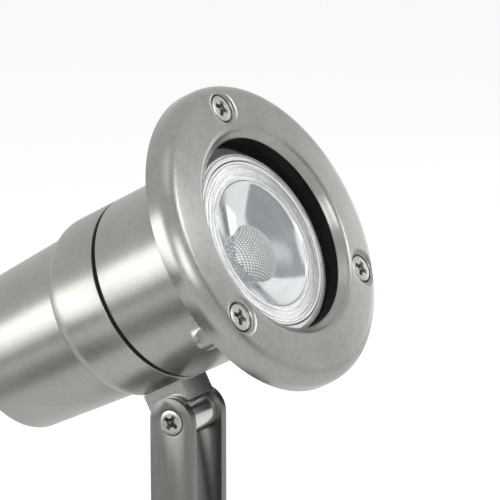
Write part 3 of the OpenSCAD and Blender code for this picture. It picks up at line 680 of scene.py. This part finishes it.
frontTube = {
    "chamber": 28.4, "face": 0, "faceEdge": (0.2, 2), "flange": 35, "flangeBack": -3.4,
    "hub": 31.7, "hubBack": -7, "hubEdge": (0.5, 3), "tube": 27.55, "tubeEdge": (0.8, 4),
    "seam": -36.35, "seamEdge": (0.25, 3), "spigot": 26.35, "spigotBack": -51.6,
    "spigotEdge": (0.3, 2), "bore": 25.2, "chamberBack": -5.8,
    "lugRadius": 4.6, "lugBack": -7.2, "lugEdge": (0.35, 2), "lugTop": -0.02,
    "webReach": 6.2, "webBack": -5.6, "hole": 2.05,
    "mouth": 2.0, "mouthTop": -6.5, "mouthFoot": 3.2, "mouthBack": -7.7,
    "steps": 192, "lugSteps": 64, "holeSteps": 48,
}


def makeFrontHousing():
    t = frontTube
    body = turned("frontHousing", t, "chamber face faceEdge", "flange face faceEdge",
                  "flange flangeBack faceEdge", "hub flangeBack", "hub hubBack hubEdge",
                  (t["tube"], t["hubBack"] + t["tube"] - t["hub"], *t["tubeEdge"]),
                  "tube seam seamEdge", "spigot seam", "spigot spigotBack spigotEdge",
                  "bore spigotBack", "bore chamberBack", "chamber chamberBack", ring=True)
    for index in range(head["screws"]):
        place = atScrew(index)
        web = block("web", (-t["webReach"], -t["lugRadius"], t["webBack"]),
                    (0, t["lugRadius"], t["lugTop"]))
        combine(body, moved(web, place), "UNION")
        workIn(body, "UNION", t, "lugRadius lugBack lugEdge", "lugRadius lugTop", steps="lugSteps",
               place=place)
        drill(body, t["hole"], t["lugBack"] - overrun, overrun, t["holeSteps"], place)
        workIn(body, "DIFFERENCE", t, "mouth mouthTop", "mouthFoot mouthBack",
               (t["mouthFoot"], t["mouthBack"] - overrun), steps="holeSteps", place=place)
    return settle(body, headPlace, "head", "tube_steel", tubeSteel, "front_housing", smooth=28)


rearTube = {
    "bore": 26.45, "seam": -37.8, "sleeve": 27.55, "seamEdge": (0.25, 3), "sleeveBack": -51.9,
    "shoulderBack": -57.2, "foot": 25.17, "end": 23.4, "rear": -95.5, "rearEdge": (1.2, 6),
    "inlet": 8.1, "inletEdge": (0.2, 2), "wall": 1.9, "endWall": 3, "footRun": 1,
    "neck": 24.15, "neckBack": -53.1, "arcSteps": 14, "steps": 192,
}


def makeRearHousing():
    # the shoulder is an arc that leaves the sleeve straight and meets the taper at its foot
    t = rearTube
    drop = t["sleeve"] - t["foot"]
    run = t["sleeveBack"] - t["shoulderBack"]
    bow = (run * run + drop * drop) / (2 * drop)
    bends = [math.asin(run / bow) * i / t["arcSteps"] for i in range(1, t["arcSteps"] + 1)]
    arc = [(t["sleeve"] - bow * (1 - math.cos(bend)), t["sleeveBack"] - bow * math.sin(bend))
           for bend in bends]
    floor = t["rear"] + t["endWall"]
    body = turned("rearHousing", t, "bore seam", "sleeve seam seamEdge", "sleeve sleeveBack", *arc,
                  "end rear rearEdge", "inlet rear inletEdge", (t["inlet"], floor),
                  (t["end"] - t["wall"], floor),
                  (t["foot"] - t["wall"], t["shoulderBack"] - t["footRun"]), "neck neckBack",
                  "bore neckBack", ring=True)
    return settle(body, headPlace, "head", "tube_steel", tubeSteel, "rear_housing", smooth=28)


knuckle = {"halfWidth": 6.3, "front": -39.6, "rear": -54.0, "under": -33.0, "top": -25.0,
           "eye": 5.6, "hole": 2.05, "tube": 27.52, "edges": (0.35, 3, 40),
           "eyeSteps": 96, "holeSteps": 64, "tubeSteps": 192}


def makeKnuckle():
    k = knuckle
    side = k["halfWidth"]
    body = block("knuckleBlock", (-side, k["under"], k["rear"]), (side, k["top"], k["front"]))
    crossway = shifted(0, -head["pivotDrop"], -head["pivotBack"]) @ spun(90, "Y")
    workIn(body, "UNION", k, (k["eye"], -side), (k["eye"], side), steps="eyeSteps", place=crossway)
    drill(body, k["hole"], -side - overrun, side + overrun, k["holeSteps"], crossway)
    soften(body, *k["edges"])
    # the saddle is cut last, so that its edge lies tight on the tube
    drill(body, k["tube"], k["rear"] - overrun, k["front"] + overrun, k["tubeSteps"])
    return settle(body, headPlace, "head", "block_steel", blockSteel, "knuckle_block", smooth=30)


makeBezel()
makeBezelScrews()
makePaneAndSeals()
makeFrontHousing()
makeRearHousing()
makeKnuckle()
print("stage: head")


shell = {
    "lip": 23.6, "face": 0, "lipEdge": (0.2, 3), "rim": 24.2, "rimEdge": (0.25, 4),
    "rimBack": -4.2, "rimFoot": (0.4, 3), "neck": 23.2, "neckEdge": (0.3, 2),
    "foot": 15.5, "footBack": -35.72, "footEdge": (1.0, 4), "middle": 0.5,
    "well": 11.8, "wellBack": -11.8, "wellTop": -10.2, "bowl": 20.3, "bowlTop": -2.4, "steps": 160,
}
collar = {
    "inner": 24.6, "back": -4.2, "front": 0, "frontEdge": (0.15, 3), "bead": 25.85,
    "groove": 26.0, "step": -0.35, "grooveEdge": (0.1, 2), "outer": 26.75, "outerEdge": (0.4, 4),
    # the gap sizes place a dark ring of painted shade between collar and rim
    "backEdge": (0.3, 2), "gapClear": 0.02, "gapFront": -0.55, "gapBack": -1.6,
    "gapEdge": (0.1, 2), "steps": 192,
}


def makeCollar():
    c = collar
    ring = turned("lampCollar", c, "inner back", "inner front frontEdge", "bead front frontEdge",
                  "groove step grooveEdge", "outer step outerEdge", "outer back backEdge",
                  ring=True)
    settle(ring, lampPlace, "head", "collar_clear", collarClear, "lamp_collar")
    # a dark rubber ring fills the gap between collar and rim: painted shade where the gap lies in
    # shadow
    outer, inner = c["inner"] + c["gapClear"], shell["rim"] - c["gapClear"]
    gap = turned("collarShadeRing", c, (outer, c["gapBack"]), (outer, c["gapFront"], *c["gapEdge"]),
                 (inner, c["gapFront"], *c["gapEdge"]), (inner, c["gapBack"]), ring=True)
    return settle(gap, lampPlace, "head", "seal_rubber", sealRubber, "lamp_collar")


def makeShell():
    body = turned("lampShell", shell, "lip face lipEdge", "rim face rimEdge",
                  "rim rimBack rimFoot", "neck rimBack neckEdge", "foot footBack footEdge",
                  "middle footBack", "middle wellBack", "well wellBack", "well wellTop",
                  "bowl bowlTop", "lip bowlTop", ring=True)
    return settle(body, lampPlace, "head", "lamp_white", lampWhite, "lamp_shell")


optic = {
    "outer": 23.5, "face": -0.2, "outerEdge": (0.15, 2), "aperture": 18.7, "apertureDrop": 0.05,
    "apertureEdge": (0.25, 4), "firstRing": 0.35, "ringMargin": 0.5, "ringPitch": 0.5,
    "ringHeight": 0.08, "ringSlope": 0.55, "uneven": 0.6, "unevenStep": 2.3,
    "backInner": 18.6, "backOuter": 20.2, "back": -2.4, "steps": 192,
}
funnel = {
    "rim": 18.6, "rimTop": -0.5, "mouth": 18.4, "mouthTop": -0.75, "mouthEdge": (0.2, 3),
    "throat": 9.9, "throatTop": -4.3, "hole": 6.5, "holeTop": -4.6, "holeBack": -5.6,
    "throatBack": -5.4, "mouthBack": -1.9, "rimBack": -1.6, "steps": 240,
}


def makeOptic():
    # fine rings stand on the annulus between the rim and the aperture
    o = optic
    count = int((o["outer"] - o["ringMargin"] - o["aperture"]) / o["ringPitch"])
    rings = []
    for i in range(count):
        at = o["outer"] - o["firstRing"] - i * o["ringPitch"]
        tall = o["ringHeight"] * (1 + o["uneven"] * math.sin(i * o["unevenStep"]))
        rings += [(at, o["face"] - tall), (at - o["ringPitch"] * o["ringSlope"], o["face"])]
    ring = turned("lampOptic", o, "outer face outerEdge", *rings,
                  (o["aperture"], o["face"] - o["apertureDrop"], *o["apertureEdge"]),
                  "backInner back", "backOuter back", "outer back", ring=True)
    settle(ring, lampPlace, "head", "optic_clear", opticClear, "lamp_optic", smooth=50)
    # a straight shallow cone, which mirrors one part of the room all along each slope
    cone = turned("lampFunnel", funnel, "rim rimTop", "mouth mouthTop mouthEdge",
                  "throat throatTop", "hole holeTop", "hole holeBack", "throat throatBack",
                  "mouth mouthBack", "rim rimBack", ring=True)
    settle(cone, lampPlace, "head", "optic_clear", funnelMirror, "lamp_optic", smooth=60)


dome = {"radius": 9.2, "height": 5.0, "foot": -5.4, "drop": -1.7, "skirt": 3, "middle": 0.03,
        "cellPitch": 0.8, "cellHeight": 0.055, "borderFade": 12, "rings": 84, "steps": 320}


def makeDome():
    # the cap is domed first, then its honeycomb is raised cell by cell
    d = dome
    foot, high = d["radius"], d["height"]
    cap = (foot * foot + high * high) / (2 * high)
    radii = [foot * (1 - i / d["rings"]) for i in range(d["rings"])] + [d["middle"]]
    piece = turned("lampDome", d, (foot, -d["skirt"]), *((radius, 0) for radius in radii))
    # three waves at 120 degrees make the cells; they add up to between lowest and highest
    wave = 2 * math.pi / (d["cellPitch"] * math.sin(math.radians(60)))
    lowest, highest = -1.5, 3
    cells = piece.data.attributes.new("cells", "FLOAT", "POINT")
    for index, vertex in enumerate(piece.data.vertices):
        if vertex.co.z < -d["skirt"] / 2 * mm:
            continue
        x, y = vertex.co.x / mm, vertex.co.y / mm
        reach = min(1.0, math.hypot(x, y) / foot)
        comb = sum(math.cos(wave * (x * math.cos(a) + y * math.sin(a)))
                   for a in (0, math.radians(120), math.radians(240)))
        rise = math.sqrt(max(0, cap * cap - (reach * foot) ** 2)) - (cap - high)
        vertex.co.z = (rise + d["cellHeight"] * comb * (1 - reach ** d["borderFade"])) * mm
        cells.data[index].value = (comb - lowest) / (highest - lowest)
    place = lampPlace @ shifted(0, d["drop"], d["foot"])
    return settle(piece, place, "head", "dome_clear", domeClear, "lamp_dome", smooth=70)


makeCollar()
makeShell()
makeOptic()
makeDome()
print("stage: lamp")


gland = {
    "hexCorner": 11.547, "hexBack": -100.5, "hexFront": -95.5, "chamfer": 0.7,
    "coneInner": 10.2, "coneOuter": 11.6, "coneClear": 0.01,
    "stem": 8, "stemBack": -96, "stemFront": -88.5, "stemChamfer": 0.4,
    "thread": 7.3, "threadBack": -108.5, "seat": -99.5, "seatBore": 6.3, "bore": 5.2,
    "seal": 6.2, "sealInner": 3.6, "sealFront": (0.3, 2), "sealBack": (0.5, 3),
    "nutBack": -112.5, "nutTip": 7.9, "crown": 8.7, "crownBack": -112.1, "crownFoot": 11.6,
    "crownFront": -108.9, "crownEnd": 12.2, "mouth": 4.7, "hollow": 7.4,
    "nutEdges": (0.15, 2, 40), "steps": 96, "sealSteps": 72,
}


def hexPrism(name, corner, low, high):
    prism = turned(name, {"steps": 6}, (corner, low), (corner, high))
    return moved(prism, spun(30))      # corners across, flats up


def glandHex(name, low, high):
    g = gland
    prism = hexPrism(name, g["hexCorner"], low, high)
    return workIn(prism, "INTERSECT", g, (g["coneInner"], low - g["coneClear"]),
                  (g["coneOuter"], low + g["chamfer"]), (g["coneOuter"], high - g["chamfer"]),
                  (g["coneInner"], high + g["coneClear"]))


def makeGland():
    g = gland
    body = glandHex("glandBody", g["hexBack"], g["hexFront"])
    workIn(body, "UNION", g, "stem stemBack", (g["stem"], g["stemFront"] - g["stemChamfer"]),
           (g["stem"] - g["stemChamfer"], g["stemFront"]))
    workIn(body, "UNION", g, "thread threadBack", "thread seat")
    workIn(body, "DIFFERENCE", g, (g["seatBore"], g["threadBack"] - overrun), "seatBore seat",
           "bore seat", (g["bore"], g["stemFront"] + overrun))
    settle(body, headPlace, "head", "gland_metal", glandSteel, "gland_body")
    rubber = turned("glandSeal", g, "seal threadBack", "seal seat", "sealInner seat sealFront",
                    "sealInner threadBack sealBack", steps="sealSteps", ring=True)
    settle(rubber, headPlace, "head", "seal_rubber", sealRubber, "gland_seal")
    nut = glandHex("glandNut", g["nutBack"], g["hexBack"])
    workIn(nut, "INTERSECT", g, "nutTip nutBack", "crown crownBack", "crownFoot crownFront",
           "crownEnd seat")
    workIn(nut, "DIFFERENCE", g, (g["mouth"], g["nutBack"] - overrun), "mouth threadBack",
           "hollow threadBack", "hollow seat")
    soften(nut, *g["nutEdges"])
    settle(nut, headPlace, "head", "gland_metal", glandSteel, "gland_nut")
    print("stage: gland")


makeGland()


yoke = {
    "earIn": 6.5, "earOut": 9.0, "halfDepth": 7.2, "bottom": 4, "web": 6.5,
    "innerBend": (1.0, 6), "outerBend": (3.5, 10), "earSegments": 20, "earTop": 0.01,
    "pivotHole": 2.05, "boltHole": 3.05, "edges": (0.3, 3, 40), "holeSteps": 64, "sinkSteps": 72,
    # radius and distance from the head's middle plane: the seat, then a mouth with a soft edge
    "sink": [(1.9, 6.8), (3.85, 8.75), (4.1, 8.92), (4.5, 9.02), (4.6, 10)],
}


def makeYoke():
    y = yoke
    top = head["pivotHeight"] + y["halfDepth"]
    strip = block("yokeStrip", (-y["earOut"], -y["halfDepth"], y["bottom"]),
                  (y["earOut"], y["halfDepth"], y["web"]))
    editPiece(strip)
    # the ears are pulled up from the ends of the web, as the strip is folded
    for side in (-1, 1):
        bpy.ops.mesh.select_all(action="SELECT")
        bpy.ops.mesh.bisect(plane_co=(side * y["earIn"] * mm, 0, 0), plane_no=(1, 0, 0))
    pickFaces(strip, lambda centre, normal: normal.z > squareOn and abs(centre.x) > y["earIn"] * mm)
    pullOut((top - y["web"]) * mm)
    near = 1e-5

    def onLine(x, z):
        return lambda a, b: all(abs(abs(v.x) - x * mm) < near and abs(v.z - z * mm) < near
                                for v in (a, b)) and abs(a.x - b.x) < near
    pickEdges(strip, onLine(y["earOut"], y["bottom"]))
    bevelPicked(*y["outerBend"])
    pickEdges(strip, onLine(y["earIn"], y["web"]))
    bevelPicked(*y["innerBend"])
    pickEdges(strip, lambda a, b: all(abs(v.z - top * mm) < near for v in (a, b))
              and abs(abs(a.y) - y["halfDepth"] * mm) < near
              and abs(a.y - b.y) < near)
    bevelPicked(y["halfDepth"] - y["earTop"], y["earSegments"])
    bpy.ops.object.mode_set(mode="OBJECT")
    across = y["earOut"] + overrun
    drill(strip, y["pivotHole"], -across, across, y["holeSteps"], pivotPlace)
    workIn(strip, "DIFFERENCE", y, *y["sink"], steps="sinkSteps", place=pivotPlace)
    drill(strip, y["boltHole"], y["bottom"] - overrun, y["web"] + overrun, y["holeSteps"])
    soften(strip, *y["edges"])
    return settle(strip, soilPlace, "yoke", "yoke_steel", yokeSteel, "yoke", smooth=30)


def makePivotScrew():
    s = screws
    screw = makeScrew("pivotScrew", s["pivotHead"], s["pivotLength"])
    return settle(screw, pivotPlace @ shifted(z=s["pivotSeat"]) @ spun(s["pivotTurn"]), "yoke",
                  "screw_steel", pivotSteel, "pivot_screw")


makeYoke()
makePivotScrew()
print("stage: yoke")


bolt = {
    "seat": 9.6, "top": 13.6, "flats": 5, "crownFoot": 4.9, "crownBack": 9.59, "crown": 5.8,
    "crownLow": 10.0, "crownHigh": 13.1, "crownTop": 4.7, "crownSteps": 72,
    "shank": 3, "foot": -20.4, "shankTop": 10.1, "tipChamfer": 0.5, "shankSteps": 64,
}
washers = {
    "web": 6.5, "plain": 5.4, "plainTop": 8.1, "split": 5.2, "splitTop": 9.6, "inner": 3.1,
    "lowEdge": (0.2, 2), "topEdge": (0.3, 3), "holeEdge": (0.1, 1),
    "gapLow": (2, -0.75, 7), "gapHigh": (7, 0, 11), "steps": 72,
}


def makeBolt():
    b = bolt
    piece = hexPrism("yokeBolt", b["flats"] / math.cos(math.radians(30)), b["seat"], b["top"])
    workIn(piece, "INTERSECT", b, "crownFoot crownBack", "crown crownLow", "crown crownHigh",
           "crownTop top", steps="crownSteps")
    workIn(piece, "UNION", b, (b["shank"] - b["tipChamfer"], b["foot"]),
           (b["shank"], b["foot"] + b["tipChamfer"]), "shank shankTop", steps="shankSteps")
    settle(piece, soilPlace, "spike", "screw_steel", boltSteel, "yoke_bolt")
    w = washers
    plain = turned("plainWasher", w, "plain web lowEdge", "plain plainTop topEdge",
                   "inner plainTop holeEdge", "inner web", ring=True)
    settle(plain, soilPlace, "spike", "screw_steel", boltSteel, "plain_washer")
    split = turned("splitWasher", w, "split plainTop lowEdge", "split splitTop lowEdge",
                   "inner splitTop", "inner plainTop", ring=True)
    combine(split, block("gap", w["gapLow"], w["gapHigh"]))
    settle(split, soilPlace, "spike", "screw_steel", boltSteel, "split_washer")


spike = {
    "collar": 23, "soil": 0, "footEdge": (0.5, 3), "top": 4, "topEdge": (1.0, 5),
    "dishOuter": 21.0, "dishFoot": 20.4, "dish": 3.5, "dishEdge": (0.2, 2),
    "dishInner": 14.5, "padRadius": 14.0, "steps": 128,
    "core": 10, "coreTop": 1, "coreBack": -23.4, "coreEdge": (1.5, 4), "coreTip": 2,
    "coreTipBack": -43.4, "coreSteps": 96,
    "halfWidth": 17, "halfThick": 2, "bladeTop": 1, "point": -180, "pointHalf": 1.0,
    "socket": 5, "socketBack": -14, "insert": 3.1, "insertBack": -20.5, "socketSteps": 72,
    "edges": (0.35, 3, 40),
}


def makeSpike():
    s = spike
    body = turned("groundSpike", s, "collar soil footEdge", "collar top topEdge",
                  "dishOuter top dishEdge", "dishFoot dish dishEdge", "dishInner dish dishEdge",
                  "padRadius top")
    workIn(body, "UNION", s, "coreTip coreTipBack", "core coreBack coreEdge", "core coreTop",
           steps="coreSteps")
    taper = (s["pointHalf"] / s["halfWidth"], s["pointHalf"] / s["halfThick"])
    for angle in (0, 90):
        blade = taperedBlock("blade", (-s["halfWidth"], -s["halfThick"], s["point"]),
                             (s["halfWidth"], s["halfThick"], s["bladeTop"]), taper)
        combine(body, moved(blade, spun(angle)), "UNION")
    workIn(body, "DIFFERENCE", s, "insert insertBack", "insert socketBack", "socket socketBack",
           (s["socket"], s["top"] + overrun), steps="socketSteps")
    soften(body, *s["edges"])
    return settle(body, soilPlace, "spike", "spike_plastic", spikePlastic, "ground_spike",
                  smooth=30)


makeBolt()
makeSpike()
print("stage: spike")


studio = {
    "cameraAt": (-0.5820, -0.3903, 0.2679), "forward": (0.821, 0.521, -0.232),
    "right": (0.536, -0.844, 0.0), "lens": 183.3, "sensor": 36, "clip": (0.01, 50),
    "floorLevel": -0.183, "floorSize": 14.0, "floorColour": (0.82, 0.82, 0.815, 1),
    "floorGlow": 0.22, "roomLight": 0.85, "cardTint": (1.0, 1.03, 1.05), "target": (0, 0.0, 0.09),
    "lamps": [
        # name, direction from the head, distance, width, length, radiance, colour
        ("tubeSoftbox", (-0.715, 0.69, -0.08), 1.5, 1.05, 1.5, 3.5, (1.0, 0.995, 0.99)),
        ("faceSoftbox", (0.975, -0.20, 0.06), 1.5, 0.5, 0.9, 1.35, (1.0, 0.995, 0.985)),
        ("edgeSoftbox", (-0.72, -0.55, 0.40), 1.5, 0.6, 1.0, 3.4, (1.0, 1.0, 1.0)),
        ("topSoftbox", (-0.15, -0.20, 0.96), 1.5, 0.6, 0.6, 0.8, (1.0, 1.0, 1.0)),
        ("ringSoftbox", (0.465, -0.68, 0.565), 1.5, 0.28, 0.28, 11.0, (1.0, 1.0, 1.0)),
    ],
    "flags": [
        # name, direction, distance, width, length, tone; dark cards that only reflections see
        ("seamFlag", (-0.815, 0.50, -0.30), 0.45, 0.075, 0.34, 0.10),
        ("underFlag", (-0.68, 0.26, -0.69), 0.30, 0.10, 0.26, 0.22),
        ("crownFlag", (0.21, -0.85, 0.48), 0.80, 0.90, 0.20, 0.10),
    ],
    # seen through the pane only, so that the lamp's bowl has something dark to mirror
    "lensFlag": {"direction": (0.41, -0.865, 0.26), "distance": 0.82, "width": 1.2,
                 "length": 0.64, "tone": 0.30},
    # beside the tube, in the head's frame: it keeps the block's front dark
    "blockFlag": {"at": (43, -28, -18.5), "width": 35, "length": 40, "tone": 0.02},
}


def facing(direction, distance):
    # a place out along a direction, with its face to the head and its length along the head's axis
    out = Vector(direction).normalized()
    along = (headAxis - out * headAxis.dot(out)).normalized()
    turn = Matrix((along.cross(out), along, out)).transposed().to_4x4()
    return Matrix.Translation(Vector(studio["target"]) + out * distance) @ turn


def makeCamera():
    camera = bpy.data.objects.new("camera", bpy.data.cameras.new("camera"))
    bpy.context.scene.collection.objects.link(camera)
    forward = Vector(studio["forward"]).normalized()
    right = (Vector(studio["right"]) - forward * Vector(studio["right"]).dot(forward)).normalized()
    up = right.cross(forward)
    turn = Matrix((right, up, -forward)).transposed().to_4x4()
    camera.matrix_world = Matrix.Translation(studio["cameraAt"]) @ turn
    camera.data.lens = studio["lens"]
    camera.data.sensor_width = studio["sensor"]
    camera.data.clip_start, camera.data.clip_end = studio["clip"]
    bpy.context.scene.camera = camera


def makeLamps():
    for name, direction, distance, width, length, radiance, colour in studio["lamps"]:
        light = bpy.data.lights.new(name, "AREA")
        light.shape = "RECTANGLE"
        light.size, light.size_y = width, length
        light.energy = radiance * math.pi * width * length
        light.color = colour
        softbox = bpy.data.objects.new(name, light)
        bpy.context.scene.collection.objects.link(softbox)
        softbox.matrix_world = facing(direction, distance)


def makeCard(name, place, width, length, tone):
    clearSelection()
    bpy.ops.mesh.primitive_plane_add(size=1)
    card = bpy.context.object
    card.name = name
    card.scale = (width, length, 1)
    bpy.ops.object.transform_apply(scale=True)
    card.matrix_world = place
    material, tree, shader = startMaterial(name + "Card", {
        "Base Color": (0, 0, 0, 1), "Roughness": 1.0, "Specular IOR Level": 0.0,
        "Emission Color": (*(tone * share for share in studio["cardTint"]), 1),
        "Emission Strength": 1.0})
    card.data.materials.append(material)
    card.visible_camera = False
    card.visible_diffuse = False
    card.visible_shadow = False
    card.visible_transmission = False
    return card


def makeFlags():
    for name, direction, distance, width, length, tone in studio["flags"]:
        makeCard(name, facing(direction, distance), width, length, tone)
    c = studio["lensFlag"]
    card = makeCard("lensFlag", facing(c["direction"], c["distance"]), c["width"], c["length"],
                    c["tone"])
    card.visible_glossy = False
    card.visible_transmission = True
    c = studio["blockFlag"]
    makeCard("blockFlag", headPlace @ shifted(*c["at"]) @ spun(-90, "Y"), c["width"] * mm,
             c["length"] * mm, c["tone"])


def seesBackground(tree):
    # camera, mirror and glass rays all meet the white background
    path = addNode(tree, "ShaderNodeLightPath")
    seen = mathNode(tree, "MAXIMUM", path.outputs["Is Camera Ray"], path.outputs["Is Glossy Ray"])
    return mathNode(tree, "MAXIMUM", seen, path.outputs["Is Transmission Ray"])


def makeRoom():
    world = bpy.data.worlds.new("room")
    bpy.context.scene.world = world
    world.use_nodes = True
    tree = world.node_tree
    background = next(n for n in tree.nodes if n.type == "BACKGROUND")
    fill(tree, background, {
        "Color": (1, 1, 1, 1),
        "Strength": mapped(tree, seesBackground(tree), low=studio["roomLight"])})
    clearSelection()
    bpy.ops.mesh.primitive_plane_add(size=studio["floorSize"],
                                     location=(0, 0, studio["floorLevel"]))
    floor = bpy.context.object
    floor.name = "floor"
    material, tree, shader = startMaterial("floorPaper", {
        "Base Color": studio["floorColour"], "Roughness": 0.9, "Specular IOR Level": 0.1,
        "Emission Color": (1, 1, 1, 1)})
    glow = mapped(tree, seesBackground(tree), high=studio["floorGlow"])
    fill(tree, shader, {"Emission Strength": glow})
    floor.data.materials.append(material)
    bpy.context.scene.view_settings.view_transform = "Standard"


makeCamera()
makeLamps()
makeFlags()
makeRoom()
print("stage: studio")
